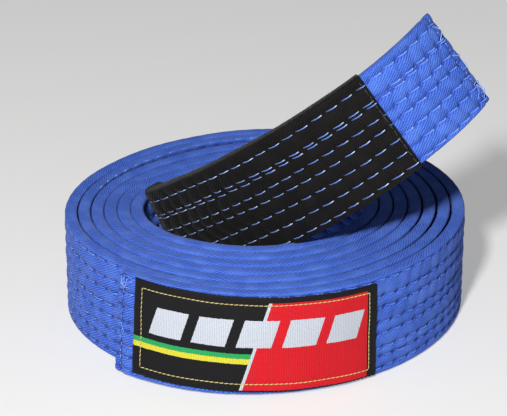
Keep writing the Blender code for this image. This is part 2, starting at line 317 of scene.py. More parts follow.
def endShape(s, start, end):
    # The folded ends are pressed thin and closed by a seam
    shape = np.ones(len(s))
    thin, lip = padding["endThin"], padding["endLip"]
    for edge, isEnd in ((belt["coverStart"], start <= belt["coverStart"]), (beltEnd, end >= beltEnd - 1e-6)):
        if isEnd:
            inside = np.abs(s - edge)
            shape *= thin + (1.0 - thin) * smooth(inside / padding["endTaper"])
            shape *= np.sqrt(np.clip(inside / padding["endClose"], 0.0, 1.0)) * (1.0 - lip) + lip
    return shape


def columnsBetween(start, end, step):
    # Evenly spaced, with a few more close to the folded ends
    columns = np.linspace(start, end, max(2, int(round((end - start) / step)) + 1))
    closer = padding["endStep"] * np.arange(1, padding["endSteps"] + 1)
    if start <= belt["coverStart"] <= end:
        columns = np.concatenate([columns, belt["coverStart"] + closer])
    if start <= beltEnd <= end:
        columns = np.concatenate([columns, beltEnd - closer])
    return np.unique(np.round(columns, 7))


def clothGrid(name, columns, rows):
    bm = bmesh.new()
    bmesh.ops.create_grid(bm, x_segments=columns - 1, y_segments=rows - 1, size=0.5)
    mesh = bpy.data.meshes.new(name)
    bm.to_mesh(mesh)
    bm.free()
    flat = np.empty(len(mesh.vertices) * 3)
    mesh.vertices.foreach_get("co", flat)
    flat = flat.reshape(-1, 3)
    i = np.round((flat[:, 0] + 0.5) * (columns - 1)).astype(int)
    j = np.round((flat[:, 1] + 0.5) * (rows - 1)).astype(int)
    return mesh, i, j


def pointValues(mesh, name, values):
    mesh.attributes.new(name, "FLOAT", "POINT").data.foreach_set("value", values.astype(np.float32))


def dress(mesh, points, u, w, creaseShade):
    # Places, a flat pattern of the cloth as its UV map, and its painted shade
    mesh.vertices.foreach_set("co", points.astype(np.float32).ravel())
    corners = np.empty(len(mesh.loops), int)
    mesh.loops.foreach_get("vertex_index", corners)
    pattern = np.stack([u, w], axis=-1) * padding["clothUnits"]
    mesh.uv_layers.new(name="cloth").uv.foreach_set("vector", pattern[corners].astype(np.float32).ravel())
    pointValues(mesh, "creaseShade", creaseShade)


def placed(name, mesh):
    piece = bpy.data.objects.new(name, mesh)
    bpy.context.scene.collection.objects.link(piece)
    return piece


def turnOutwards(bm):
    bmesh.ops.recalc_face_normals(bm, faces=bm.faces)
    for face in bm.faces:
        face.smooth = len(face.verts) == 4


def closed(mesh, name):
    bm = bmesh.new()
    bm.from_mesh(mesh)
    bmesh.ops.remove_doubles(bm, verts=[vert for vert in bm.verts if vert.is_boundary], dist=padding["weld"])
    bmesh.ops.holes_fill(bm, edges=[edge for edge in bm.edges if edge.is_boundary])
    turnOutwards(bm)
    bm.to_mesh(mesh)
    bm.free()
    return placed(name, mesh)


def paddedStrip(name, start, end, step, outerRows, innerRows,
                half=padding["half"], quilt=1.0, extraWidth=0.0, shade=1.0):
    columns = columnsBetween(start, end, step)
    v, d, arc, outV, outD, fromMiddle = crossSection(half, outerRows, innerRows)
    mesh, i, j = clothGrid(name, len(columns), len(v))
    s = columns[i]
    depth, creaseShade = quiltDepth(s, fromMiddle[j], quilt)
    thin = endShape(s, start, end)
    wave = np.sin(s / padding["edgeLong"]) + 0.5 * np.sin(s / padding["edgeShort"] + 1.0)
    atEdge = smooth((np.abs(v[j]) - padding["edgeFrom"]) / padding["edgeOver"])
    outwards = np.sign(v[j]) * (padding["edgeWave"] * wave + extraWidth) * atEdge
    fromSeam = np.minimum(np.abs(s - labelSeamAt), np.abs(s - tipSeamAt))
    seam = np.exp(-(fromSeam / padding["seamReach"]) ** 2)
    depth = depth + padding["seamPress"] * seam * thin
    # Painted shade along the seams across the ends
    creaseShade = np.clip(creaseShade + padding["seamShade"] * seam, 0.0, 1.0)
    vAt = v[j] + outwards - depth * outV[j]
    dAt = (d[j] - depth * outD[j]) * thin
    dress(mesh, laid(s, vAt, dAt), s, arc[j], creaseShade * shade)
    return closed(mesh, name)


# Stitches
thread = {
    "sides": 6, "segments": 5, "seed": 11, "length": 0.90, "lastShort": 0.3, "sink": 1.1, "dive": 0.7,
    "bow": 0.00016, "jitter": 0.00008, "endsThin": 0.55, "twist": 0.15, "twistAngle": 18.0,
}


def stitchTemplate():
    # One stitch, from 0 to 1 upwards
    bm = bmesh.new()
    bmesh.ops.create_circle(bm, cap_ends=True, segments=thread["sides"], radius=1.0)
    cap = bm.faces[:]
    for _ in range(thread["segments"]):
        made = bmesh.ops.extrude_face_region(bm, geom=cap)["geom"]
        cap = [item for item in made if isinstance(item, bmesh.types.BMFace)]
        verts = [item for item in made if isinstance(item, bmesh.types.BMVert)]
        bmesh.ops.translate(bm, verts=verts, vec=(0.0, 0.0, 1.0 / thread["segments"]))
    turnOutwards(bm)
    mesh = bpy.data.meshes.new("stitchTemplate")
    bm.to_mesh(mesh)
    bm.free()
    return mesh


template = stitchTemplate()
templateCo = np.array([vert.co for vert in template.vertices])


def stitched(name, starts, place):
    # Copies of the stitch, each bent by place(number, along, sideways, outwards)
    bm = bmesh.new()
    for _ in starts:
        bm.from_mesh(template)
    mesh = bpy.data.meshes.new(name)
    bm.to_mesh(mesh)
    bm.free()
    number = np.repeat(np.arange(len(starts)), len(templateCo))
    local = np.tile(templateCo, (len(starts), 1))
    points = place(number, local[:, 2], local[:, 0], local[:, 1])
    mesh.vertices.foreach_set("co", points.astype(np.float32).ravel())
    pointValues(mesh, "along", local[:, 2])
    return placed(name, mesh)


def arch(along, power=1.0):
    return np.sin(math.pi * np.clip(along, 0.0, 1.0)) ** power


def fullness(along, ends):
    # A stitch is thinner where it goes into the cloth
    return ends + (1.0 - ends) * arch(along, 0.5)


def quiltStitches(name, start, end, side, sewn):
    pitch, radius = quilting["stitch"], sewn["radius"]
    starts, lines = [], []
    for row, phase in enumerate(rowPhase):
        first = math.ceil(start / pitch + phase)
        last = math.ceil(end / pitch + phase - thread["lastShort"])
        for k in range(first, last):
            starts.append((k - phase) * pitch)
            lines.append(row)
    starts, lines = np.array(starts), np.array(lines)
    chance = np.random.default_rng(thread["seed"]).normal(0.0, 1.0, (len(starts), 2))[:, 0]
    inset = 0.5 * (1.0 - thread["length"])

    def place(number, along, sideways, outwards):
        s = np.minimum(starts[number] + pitch * (inset + thread["length"] * along), end)
        v = rowPlaces(s)[lines[number], np.arange(len(s))]
        v = v + (0.5 - along) * 2.0 * sewn["tilt"] - thread["bow"] * arch(along)
        v = v + chance[number] * thread["jitter"]
        depth, _ = quiltDepth(s, v, sewn["quilt"])
        thick = radius * fullness(along, thread["endsThin"])
        dive = thread["dive"] * (np.abs(along - 0.5) * 2.0) ** 3
        above = sewn["half"] - depth + radius * (thread["sink"] * arch(along, 0.6) - dive)
        twist = thread["twist"] * radius * np.sin(along * thread["twistAngle"])
        return laid(s, v + sideways * thick + twist, side * (above + outwards * thick))

    return stitched(name, starts, place)


# Materials
class Socket:
    # A socket of a node tree that takes Python's operators
    def __init__(self, tree, socket):
        self.tree, self.socket = tree, socket

    def node(self, kind, settings=None, sockets=None, out=0):
        made = self.tree.nodes.new(kind)
        for key, value in (settings or {}).items():
            setattr(made, key, value)
        for key, value in (sockets or {}).items():
            if isinstance(value, Socket):
                self.tree.links.new(value.socket, made.inputs[key])
            else:
                made.inputs[key].default_value = value
        return Socket(self.tree, made.outputs[out])

    def maths(self, operation, a, b=0.0):
        return self.node("ShaderNodeMath", {"operation": operation}, {0: a, 1: b})

    def __add__(self, other):
        return self.maths("ADD", self, other)

    def __radd__(self, other):
        return self.maths("ADD", other, self)

    def __sub__(self, other):
        return self.maths("SUBTRACT", self, other)

    def __rsub__(self, other):
        return self.maths("SUBTRACT", other, self)

    def __mul__(self, other):
        return self.maths("MULTIPLY", self, other)

    def __rmul__(self, other):
        return self.maths("MULTIPLY", other, self)

    def __lt__(self, other):
        return self.maths("LESS_THAN", self, other)

    def __gt__(self, other):
        return self.maths("GREATER_THAN", self, other)

    def wave(self):
        return 0.5 + 0.5 * self.maths("COSINE", self * (2.0 * math.pi))

    def ramp(self, low, high):
        sockets = {"Value": self, "From Min": low, "From Max": high}
        return self.node("ShaderNodeMapRange", {"interpolation_type": "SMOOTHSTEP"}, sockets)

    def colour(self, first, second):
        return self.node("ShaderNodeMix", {"data_type": "RGBA"}, {0: self, 6: first, 7: second}, out=2)

    def parts(self):
        return [self.node("ShaderNodeSeparateXYZ", None, {0: self}, out=k) for k in range(3)]

    def noise(self, scale, detail=2.0, rough=0.5):
        sockets = {"Vector": self, "Scale": scale, "Detail": detail, "Roughness": rough}
        return self.node("ShaderNodeTexNoise", None, sockets)


def colourOf(red, green, blue):
    # From display values out of 255
    def linear(x):
        x = x / 255.0
        return x / 12.92 if x <= 0.04045 else ((x + 0.055) / 1.055) ** 2.4
    return (linear(red), linear(green), linear(blue), 1.0)


def newMaterial(name, fixed):
    material = bpy.data.materials.new(name)
    material.use_nodes = True
    tree = material.node_tree
    tree.nodes.clear()
    shader = tree.nodes.new("ShaderNodeBsdfPrincipled")
    output = tree.nodes.new("ShaderNodeOutputMaterial")
    tree.links.new(shader.outputs[0], output.inputs[0])
    for key, value in fixed.items():
        shader.inputs[key].default_value = value
    return material, tree, shader


def finishMaterial(tree, shader, base, roughness, height, distance, strength):
    tree.links.new(base.socket, shader.inputs["Base Color"])
    tree.links.new(roughness.socket, shader.inputs["Roughness"])
    bump = height.node("ShaderNodeBump", None, {"Strength": strength, "Distance": distance, "Height": height})
    tree.links.new(bump.socket, shader.inputs["Normal"])


# Woven twill: lengths in metres, an angle in degrees, noises as scale, detail and roughness
twill = {
    "rib": 0.00088, "yarn": 0.0011, "angle": 30.0, "stagger": 0.5, "wobble": 0.9,
    "wobbleNoise": (60.0, 1.0), "patchNoise": (13.0, 3.0), "fuzzNoise": (900.0, 2.0, 0.7),
    "slubNoise": (150.0, 3.0, 0.6),
    "weave": (0.75, 0.25), "weaveRamp": (0.05, 0.95),
    "ribRamp": (0.55, 1.0), "slubRamp": (0.40, 0.75), "lightRibs": 0.42,
    "patchRamp": (0.35, 0.75), "lightPatches": 0.18, "creaseShadeRamp": (0.10, 0.90), "creaseShadeShare": 0.80,
    "roughness": 0.72, "roughnessFuzz": 0.16, "bumps": (0.7, 0.14, 0.30, 0.35),
    "bumpDistance": 0.00020, "bumpStrength": 0.9,
    "fixed": {"Sheen Weight": 0.05, "Sheen Roughness": 0.4, "Specular IOR Level": 0.12},
    # Each dye has the deep, main and light tones of the cloth, and the painted shade of its creases
    "blue": {
        "deep": colourOf(40, 66, 148), "main": colourOf(64, 101, 196),
        "light": colourOf(112, 154, 240), "shade": colourOf(26, 42, 116),
    },
    "black": {
        "deep": colourOf(6, 6, 6), "main": colourOf(13, 11, 11),
        "light": colourOf(34, 31, 30), "shade": colourOf(9, 8, 9),
    },
}


def twillMaterial(name, dyeAndPaintedLight):
    material, tree, shader = newMaterial(name, twill["fixed"])
    start = Socket(tree, None)
    uv = start.node("ShaderNodeUVMap", {"uv_map": "cloth"})
    along, around, _ = uv.parts()
    creaseShade = start.node("ShaderNodeAttribute", {"attribute_name": "creaseShade"}, out=2)
    wobble = uv.noise(*twill["wobbleNoise"])
    cos, sin = math.cos(math.radians(twill["angle"])), math.sin(math.radians(twill["angle"]))
    ribs, yarns = 1.0 / (padding["clothUnits"] * twill["rib"]), 1.0 / (padding["clothUnits"] * twill["yarn"])
    phase = (around * cos - along * sin) * ribs + wobble * twill["wobble"]
    rib = phase.wave()
    yarn = ((along * cos + around * sin) * yarns + phase.maths("FLOOR", phase) * twill["stagger"]).wave()
    patch = uv.noise(*twill["patchNoise"])
    fuzz = uv.noise(*twill["fuzzNoise"])
    slub = uv.noise(*twill["slubNoise"])
    weave = (rib * twill["weave"][0] + yarn * twill["weave"][1]).ramp(*twill["weaveRamp"])
    lightRibs = rib.ramp(*twill["ribRamp"]) * slub.ramp(*twill["slubRamp"]) * twill["lightRibs"]
    base = weave.colour(dyeAndPaintedLight["deep"], dyeAndPaintedLight["main"])
    base = lightRibs.colour(base, dyeAndPaintedLight["light"])
    base = (patch.ramp(*twill["patchRamp"]) * twill["lightPatches"]).colour(base, dyeAndPaintedLight["light"])
    # Painted shade in the creases, needle holes, puckers and seams of the quilting
    base = (creaseShade.ramp(*twill["creaseShadeRamp"]) * twill["creaseShadeShare"]).colour(base, dyeAndPaintedLight["shade"])
    roughness = twill["roughness"] + twill["roughnessFuzz"] * fuzz
    ribBump, yarnBump, fuzzBump, slubBump = twill["bumps"]
    height = rib * ribBump + yarn * yarnBump + fuzz * fuzzBump + slub * slubBump
    finishMaterial(tree, shader, base, roughness, height, twill["bumpDistance"], twill["bumpStrength"])
    return material


# Thread: for each colour of thread, its painted shade, its own middle colour and its painted highlight, and
# where along a stitch the painted highlight starts
threadLook = {
    "fuzzNoise": (2500.0, 2.0, 0.6), "varyNoise": (120.0, 1.0), "varyDark": 0.4, "varyBright": 0.5,
    "brightTo": 0.98, "twists": 11.0, "roughness": 0.45, "roughnessFuzz": 0.2, "bumps": (0.7, 0.4),
    "bumpDistance": 0.00012, "bumpStrength": 0.8,
    "fixed": {"Sheen Weight": 0.15, "Specular IOR Level": 0.45},
    "blue": (colourOf(42, 72, 160), colourOf(72, 114, 212), colourOf(150, 184, 244), 0.72),
    "pale": (colourOf(40, 60, 124), colourOf(84, 122, 200), colourOf(190, 212, 248), 0.62),
    "gold": (colourOf(150, 122, 52), colourOf(206, 184, 100), colourOf(240, 226, 160), 0.5),
    "tip": (colourOf(62, 100, 200), colourOf(88, 130, 224), colourOf(158, 190, 244), 0.66),
    "black": (colourOf(8, 8, 9), colourOf(22, 20, 22), colourOf(52, 50, 54), 0.5),
}


def threadMaterial(name, dyeAndPaintedLight):
    dark, middle, bright, brightFrom = dyeAndPaintedLight
    material, tree, shader = newMaterial(name, threadLook["fixed"])
    start = Socket(tree, None)
    along = start.node("ShaderNodeAttribute", {"attribute_name": "along"}, out=2)
    place = start.node("ShaderNodeTexCoord", None, None, out=3)
    fuzz = place.noise(*threadLook["fuzzNoise"])
    vary = place.noise(*threadLook["varyNoise"])
    varyDark, varyBright = threadLook["varyDark"], threadLook["varyBright"]
    # Each stitch goes from painted shade at its start to the thread's own colour, then to a painted highlight
    # towards its end
    lit = (along + vary * varyDark - 0.5 * varyDark).ramp(0.0, brightFrom)
    shining = (along + vary * varyBright - 0.5 * varyBright).ramp(brightFrom, threadLook["brightTo"])
    base = shining.colour(lit.colour(dark, middle), bright)
    twist = (along * threadLook["twists"]).wave()
    height = twist * threadLook["bumps"][0] + fuzz * threadLook["bumps"][1]
    roughness = threadLook["roughness"] + threadLook["roughnessFuzz"] * fuzz
    bump = (threadLook["bumpDistance"], threadLook["bumpStrength"])
    finishMaterial(tree, shader, base, roughness, height, *bump)
    return material


blueTwill = twillMaterial("blueTwill", twill["blue"])
blackTwill = twillMaterial("blackTwill", twill["black"])
blueThread = threadMaterial("blueThread", threadLook["blue"])
paleThread = threadMaterial("paleThread", threadLook["pale"])
goldThread = threadMaterial("goldThread", threadLook["gold"])
tipThread = threadMaterial("tipThread", threadLook["tip"])
blackThread = threadMaterial("blackThread", threadLook["black"])
print("materials made")

# How the pieces move: each bend has a hinge and a reach to both sides of it, but the piece is only baked in
# place, not bent
hinges = {
    "label": (0.04026, -0.05687, 0.02), "tail": (0.00091, -0.03435, 0.06116),
    "tip": (0.04463, -0.03618, 0.09302),
    "tailDirection": (0.85, 0.0, 0.51), "reach": 0.008, "tipReach": 0.004,
}


def pathDirection(s):
    return units(readPath(pathAlong, np.array([s])))[0]


def bendBetween(piece, hinge, direction, reach):
    direction = np.array(direction) / np.linalg.norm(direction)
    tuple(hinge - direction * reach)
    tuple(hinge + direction * reach)
    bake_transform(piece)


def bendAtLabel(piece):
    direction = -pathDirection(belt["labelFlex"])
    bendBetween(piece, hinges["label"], direction, hinges["reach"])


def bendAtTail(piece):
    bendBetween(piece, hinges["tail"], hinges["tailDirection"], hinges["reach"])


def bendAtTip(piece):
    direction = pathDirection(rollEnd + belt["tipFlex"])
    bendBetween(piece, hinges["tip"], direction, hinges["tipReach"])


def rideOn(body):
    def follow(piece):
        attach(piece, body)
    return follow


def give(piece, material, follow):
    piece.data.materials.clear()
    piece.data.materials.append(material)
    follow(piece)
    return piece


# The cover, in six pieces end to end, of which the last two overlap a little under the bar
cover = {
    "labelSplit": 0.300, "outerTurn": 445.0, "innerTurn": 2040.0, "tailSplit": 0.002,
    "fine": 0.00075, "coarse": 0.0015, "tailStep": 0.001, "tipStep": 0.0005,
    "seenRows": 56, "hiddenRows": 14, "middleRows": 12, "tipRows": 64,
    "underBar": 0.004, "tipUnderBar": 0.006, "tipQuilt": 1.05, "tipShade": 0.75,
    "fill": 0.7, "tipFill": 0.75,
}
outerEnd = sAtTurn(cover["outerTurn"])
innerStart = sAtTurn(cover["innerTurn"])
tailSplit = rollEnd + cover["tailSplit"]
barStart, barEnd = rollEnd + belt["barStart"], rollEnd + belt["barEnd"]
seen, hidden, middle = cover["seenRows"], cover["hiddenRows"], cover["middleRows"]
coverParts = [  # name, from, to, step, rows on the outer and the inner face, how it moves
    ("coverLabelEnd", belt["coverStart"], cover["labelSplit"], cover["fine"], seen, hidden, bendAtLabel),
    ("coverOuterTurn", cover["labelSplit"], outerEnd, cover["fine"], seen, hidden, rideOn("root")),
    ("coverMiddleTurns", outerEnd, innerStart, cover["coarse"], middle, middle, rideOn("root")),
    ("coverInnerTurn", innerStart, tailSplit, cover["fine"], seen, seen, rideOn("root")),
    ("coverTailBase", tailSplit, barEnd - cover["underBar"], cover["tailStep"], seen, seen, bendAtTail),
]
pieces = {}
for name, start, end, step, outerRows, innerRows, follow in coverParts:
    strip = paddedStrip(name, start, end, step, outerRows, innerRows)
    pieces[name] = give(strip, blueTwill, follow)
strip = paddedStrip(
    "coverTip", barEnd - cover["tipUnderBar"], beltEnd, cover["tipStep"], cover["tipRows"], cover["tipRows"],
    quilt=cover["tipQuilt"], shade=cover["tipShade"])
pieces["coverTip"] = give(strip, blueTwill, bendAtTip)
print("cover laid")

# The black bar is wrapped over the cover and stitched through with it
bar = {
    "wall": 0.00075, "step": 0.0006, "rows": 60, "quilt": 0.75, "wider": 0.0007, "seam": 0.0012,
    "fill": 0.7,
}
barHalf = padding["half"] + bar["wall"]
strip = paddedStrip(
    "rankBar", barStart, barEnd, bar["step"], bar["rows"], bar["rows"],
    half=barHalf, quilt=bar["quilt"], extraWidth=bar["wider"])
pieces["rankBar"] = give(strip, blackTwill, bendAtTail)
print("bar wrapped")

# Quilting
sewing = {
    "cover": {
        "half": padding["half"], "quilt": 1.0, "radius": 0.00020, "tilt": 0.00034,
        "thread": blueThread,
    },
    "bar": {"half": barHalf, "quilt": bar["quilt"], "radius": 0.00022, "tilt": 0.00020, "thread": paleThread},
    "tip": {
        "half": padding["half"], "quilt": cover["tipQuilt"], "radius": 0.00026, "tilt": 0.00034,
        "thread": tipThread,
    },
    "firstStitch": 0.006, "outerTurn": 372.0, "intoBar": 0.001, "barShort": 0.0003, "tipShort": 0.003,
}
barRun = (barStart + sewing["intoBar"], barEnd - sewing["barShort"])
tipRun = (barEnd, beltEnd - sewing["tipShort"])
stitchSets = [  # name, from and to, outer (1) or inner (-1) face, what it is sewn through, how it moves
    ("stitchesLabelEnd", (sewing["firstStitch"], cover["labelSplit"]), 1.0, "cover", bendAtLabel),
    ("stitchesOuterTurn", (cover["labelSplit"], sAtTurn(sewing["outerTurn"])), 1.0, "cover", rideOn("root")),
    ("stitchesInnerFace", (innerStart, tailSplit), -1.0, "cover", rideOn("root")),
    ("stitchesTailFace", (tailSplit, barStart), 1.0, "cover", rideOn("root")),
    ("stitchesBarFront", barRun, 1.0, "bar", bendAtTail),
    ("stitchesBarBack", barRun, -1.0, "bar", bendAtTail),
    ("stitchesTipFront", tipRun, 1.0, "tip", bendAtTip),
    ("stitchesTipBack", tipRun, -1.0, "tip", bendAtTip),
]
for name, (start, end), side, kind, follow in stitchSets:
    stitches = quiltStitches(name, start, end, side, sewing[kind])
    pieces[name] = give(stitches, sewing[kind]["thread"], follow)

# The second turn rolled over a little at the back, so a row of its stitches shows on top
shoulder = {
    "from": 545.0, "to": 662.0, "angle": -48.0, "inset": 0.1, "length": 0.7,
    "radius": 0.00022, "endsThin": 0.5, "arch": 0.00012, "sink": 0.00010, "slope": 0.0005,
}


def shoulderStitches(name):
    pitch = quilting["stitch"]
    starts = np.arange(sAtTurn(shoulder["from"]), sAtTurn(shoulder["to"]), pitch)
    angle = math.radians(shoulder["angle"])
    flat = 0.5 * belt["width"] - padding["foldReach"]
    vAt = flat + padding["foldReach"] * math.cos(angle) ** padding["foldRound"]
    dAt = -padding["half"] * abs(math.sin(angle)) ** padding["foldRound"]

    def place(number, along, sideways, outwards):
        s = starts[number] + pitch * (shoulder["inset"] + shoulder["length"] * along)
        thick = shoulder["radius"] * fullness(along, shoulder["endsThin"])
        up = vAt + shoulder["arch"] * arch(along) + outwards * thick - shoulder["sink"]
        return laid(s, up, dAt + (along - 0.5) * shoulder["slope"] + sideways * thick)

    return stitched(name, starts, place)


give(shoulderStitches("stitchesShoulder"), tipThread, rideOn("root"))
print("quilting sewn")

# The woven label: where it lies on the belt, its ripples and its frayed edge
label = {
    "from": 0.0143, "to": 0.1040, "low": -0.0184, "high": 0.0187, "turned": 0.0016,
    "step": 0.0008, "rows": 47, "lift": 0.00060, "wall": 0.00045,
    "ripple": 0.00012, "rippleAlong": 0.0034, "rippleAcross": 0.006, "fold": 0.00010, "foldAcross": 0.0031,
    "inset": 0.0031, "sewnDeep": 0.00022, "sewnReach": 0.0009, "curl": 0.00012, "curlReach": 0.0012,
    "fray": 0.00018, "frayWaves": 4100.0, "frayFrom": 0.0178,
}


def labelHeight(s, v):
    ripple = label["ripple"] * np.sin(s / label["rippleAlong"] + 2.0 * np.sin(v / label["rippleAcross"]))
    ripple += label["fold"] * np.sin(v / label["foldAcross"])
    toEdge = np.minimum.reduce([s - label["from"], label["to"] - s, v - label["low"], label["high"] - v])
    sewnDown = label["sewnDeep"] * np.exp(-((toEdge - label["inset"]) / label["sewnReach"]) ** 2)
    curl = label["curl"] * np.exp(-toEdge / label["curlReach"])
    return padding["half"] + label["lift"] + ripple - sewnDown - curl


def laidLabel(s, v, d):
    # The label is sewn on a little out of line with the belt
    share = (s - label["from"]) / (label["to"] - label["from"])
    return laid(s, v + label["turned"] * (0.5 - share), d)


def labelSheet():
    # One grid goes over the top of the label, back under it and up to its start again
    columns = np.linspace(label["from"], label["to"], int((label["to"] - label["from"]) / label["step"]) + 1)
    rows = np.linspace(label["low"], label["high"], label["rows"])
    v = np.concatenate([rows, rows[::-1], rows[:1]])
    under = np.concatenate([np.zeros(len(rows)), np.ones(len(rows)), np.zeros(1)])
    mesh, i, j = clothGrid("labelPatch", len(columns), len(v))
    s, across = columns[i], v[j]
    fray = label["fray"] * np.sin(s * label["frayWaves"]) * (np.abs(across) > label["frayFrom"])
    d = labelHeight(s, across) - under[j] * label["wall"]
    dress(mesh, laidLabel(s, across + np.sign(across) * fray, d), s, across, np.zeros(len(s)))
    return closed(mesh, "labelPatch")


# What is woven into it: two stripes, a row of pale blocks and a red block, in metres on the flat label
weaving = {
    "warp": 0.00062, "weft": 0.00048, "wobble": 0.0005, "wobbleNoise": (90.0, 2.0),
    "speckNoise": (700.0, 2.0, 0.7), "threadShare": 0.55, "shadeRamp": (0.2, 0.8), "darker": 0.6,
    "slant": 0.30, "tall": (-0.0178, 0.0166), "edge": (0.0444, 0.0455), "redTo": 0.0858,
    "stripesTo": 0.0450, "greenStripe": (-0.0053, -0.0034), "yellowStripe": (-0.0074, -0.0053),
    "blocksAlong": (0.0050, 0.0815), "blocksAcross": (-0.0009, 0.0098),
    "blockPitch": 0.0158, "blockShift": 0.58, "blockShare": 0.76,
    "roughness": 0.6, "roughnessSpeck": 0.2, "bumps": (0.7, 0.4),
    "bumpDistance": 0.00012, "bumpStrength": 0.8,
    "fixed": {"Sheen Weight": 0.02, "Specular IOR Level": 0.15},
    "black": colourOf(9, 9, 11), "blackThread": colourOf(30, 30, 34),
    "red": colourOf(198, 22, 34), "redDeep": colourOf(150, 12, 24),
    "green": colourOf(38, 150, 84), "yellow": colourOf(200, 192, 54), "pale": colourOf(182, 188, 198),
}


def darker(colour):
    return tuple(weaving["darker"] * part for part in colour[:3]) + (1.0,)


def within(value, low, high):
    return (value > low) * (value < high)


def labelMaterial():
    material, tree, shader = newMaterial("labelWeave", weaving["fixed"])
    uv = Socket(tree, None).node("ShaderNodeUVMap", {"uv_map": "cloth"})
    along, across, _ = uv.parts()
    metres = 1.0 / padding["clothUnits"]
    wobble = uv.noise(*weaving["wobbleNoise"]) * weaving["wobble"] - 0.5 * weaving["wobble"]
    x = along * metres - label["from"] + wobble
    y = across * metres + wobble
    weave = (x * (1.0 / weaving["warp"])).wave() * 0.5 + (y * (1.0 / weaving["weft"])).wave() * 0.5
    speck = uv.noise(*weaving["speckNoise"])
    shade = weave.ramp(*weaving["shadeRamp"])
    slanted = x - y * weaving["slant"]
    tall = within(y, *weaving["tall"])
    stripes = slanted < weaving["stripesTo"]
    count = slanted * (1.0 / weaving["blockPitch"]) + weaving["blockShift"]
    blocks = within(slanted, *weaving["blocksAlong"]) * within(y, *weaving["blocksAcross"])
    blocks = blocks * (count.maths("FRACT", count) < weaving["blockShare"])
    base = (weave * weaving["threadShare"] * speck).colour(weaving["black"], weaving["blackThread"])
    for mask, colour, deep in (
        (stripes * within(y, *weaving["greenStripe"]), weaving["green"], darker(weaving["green"])),
        (stripes * within(y, *weaving["yellowStripe"]), weaving["yellow"], darker(weaving["yellow"])),
        ((slanted > weaving["edge"][1]) * tall * (x < weaving["redTo"]), weaving["red"], weaving["redDeep"]),
        (within(slanted, *weaving["edge"]) * tall, weaving["pale"], darker(weaving["pale"])),
        (blocks, weaving["pale"], darker(weaving["pale"])),
    ):
        base = mask.colour(base, shade.colour(deep, colour))
    roughness = weaving["roughness"] + weaving["roughnessSpeck"] * speck
    height = weave * weaving["bumps"][0] + speck * weaving["bumps"][1]
    finishMaterial(tree, shader, base, roughness, height, weaving["bumpDistance"], weaving["bumpStrength"])
    return material


labelPatch = give(labelSheet(), labelMaterial(), rideOn("label_end"))

# The gold stitching just inside the label's edge
border = {
    "pitch": 0.0017, "radius": 0.00016, "endsThin": 0.6, "inset": 0.04, "length": 0.92,
    "slope": 0.00012, "arch": 0.00018,
}


def borderStitches():
    left, right = label["from"] + label["inset"], label["to"] - label["inset"]
    low, high = label["low"] + label["inset"], label["high"] - label["inset"]
    sides = (
        (left, right, low, True), (left, right, high, True),
        (low, high, left, False), (low, high, right, False),
    )
    lines = []
    for a, b, fixed, runsAlong in sides:
        count = int((b - a) / border["pitch"])
        lines += [(a + (b - a) * k / count, (b - a) / count, fixed, runsAlong) for k in range(count)]
    begin, length, fixed, runsAlong = [np.array(values) for values in zip(*lines)]

    def place(number, along, sideways, outwards):
        at = begin[number] + length[number] * (border["inset"] + border["length"] * along)
        radius = border["radius"] * fullness(along, border["endsThin"])
        off = fixed[number] + (along - 0.5) * border["slope"] + sideways * radius
        s = np.where(runsAlong[number], at, off)
        v = np.where(runsAlong[number], off, at)
        return laidLabel(s, v, labelHeight(s, v) + border["arch"] * arch(along, 0.6) + outwards * radius)

    return stitched("labelBorder", lines, place)


labelBorder = give(borderStitches(), goldThread, rideOn("label_end"))
print("label sewn on")

# Seams across the ends, on both faces
crossing = {
    "reach": 0.0185, "pitch": 0.0026, "barPitch": 0.0030, "inset": 0.08, "length": 0.84,
    "radius": 0.0002, "endsThin": 0.6, "lift": 0.4, "wander": 0.0003, "seed": 5,
}


def crossSeam(name, sAt, half, pitch, quilt):
    reach = crossing["reach"]
    count = int(2.0 * reach / pitch)
    begin = np.linspace(-reach, reach, count, endpoint=False)
    chance = np.random.default_rng(crossing["seed"]).normal(0.0, 1.0, count)
    starts = np.concatenate([begin, begin])
    sides = np.concatenate([np.ones(count), -np.ones(count)])
    chance = np.concatenate([chance, chance[::-1]])

    def place(number, along, sideways, outwards):
        v = starts[number] + pitch * (crossing["inset"] + crossing["length"] * along)
        thick = crossing["radius"] * fullness(along, crossing["endsThin"])
        s = sAt + crossing["wander"] * chance[number] * (along - 0.5) + sideways * thick
        depth, _ = quiltDepth(s, v, quilt)
        above = (half - depth) * endShape(s, 0.0, beltEnd)
        above = above + crossing["lift"] * crossing["radius"] * arch(along)
        return laid(s, v, sides[number] * (above + outwards * thick))

    return stitched(name, starts, place)


labelEndSeam = give(
    crossSeam("labelEndSeam", labelSeamAt, padding["half"], crossing["pitch"], 1.0),
    blueThread, rideOn("label_end"))
tipEndSeam = give(
    crossSeam("tipEndSeam", tipSeamAt, padding["half"], crossing["pitch"], cover["tipQuilt"]),
    blueThread, rideOn("tip"))
barSeam = give(
    crossSeam("barSeam", barEnd - bar["seam"], barHalf, crossing["barPitch"], bar["quilt"]),
    blackThread, rideOn("tail"))

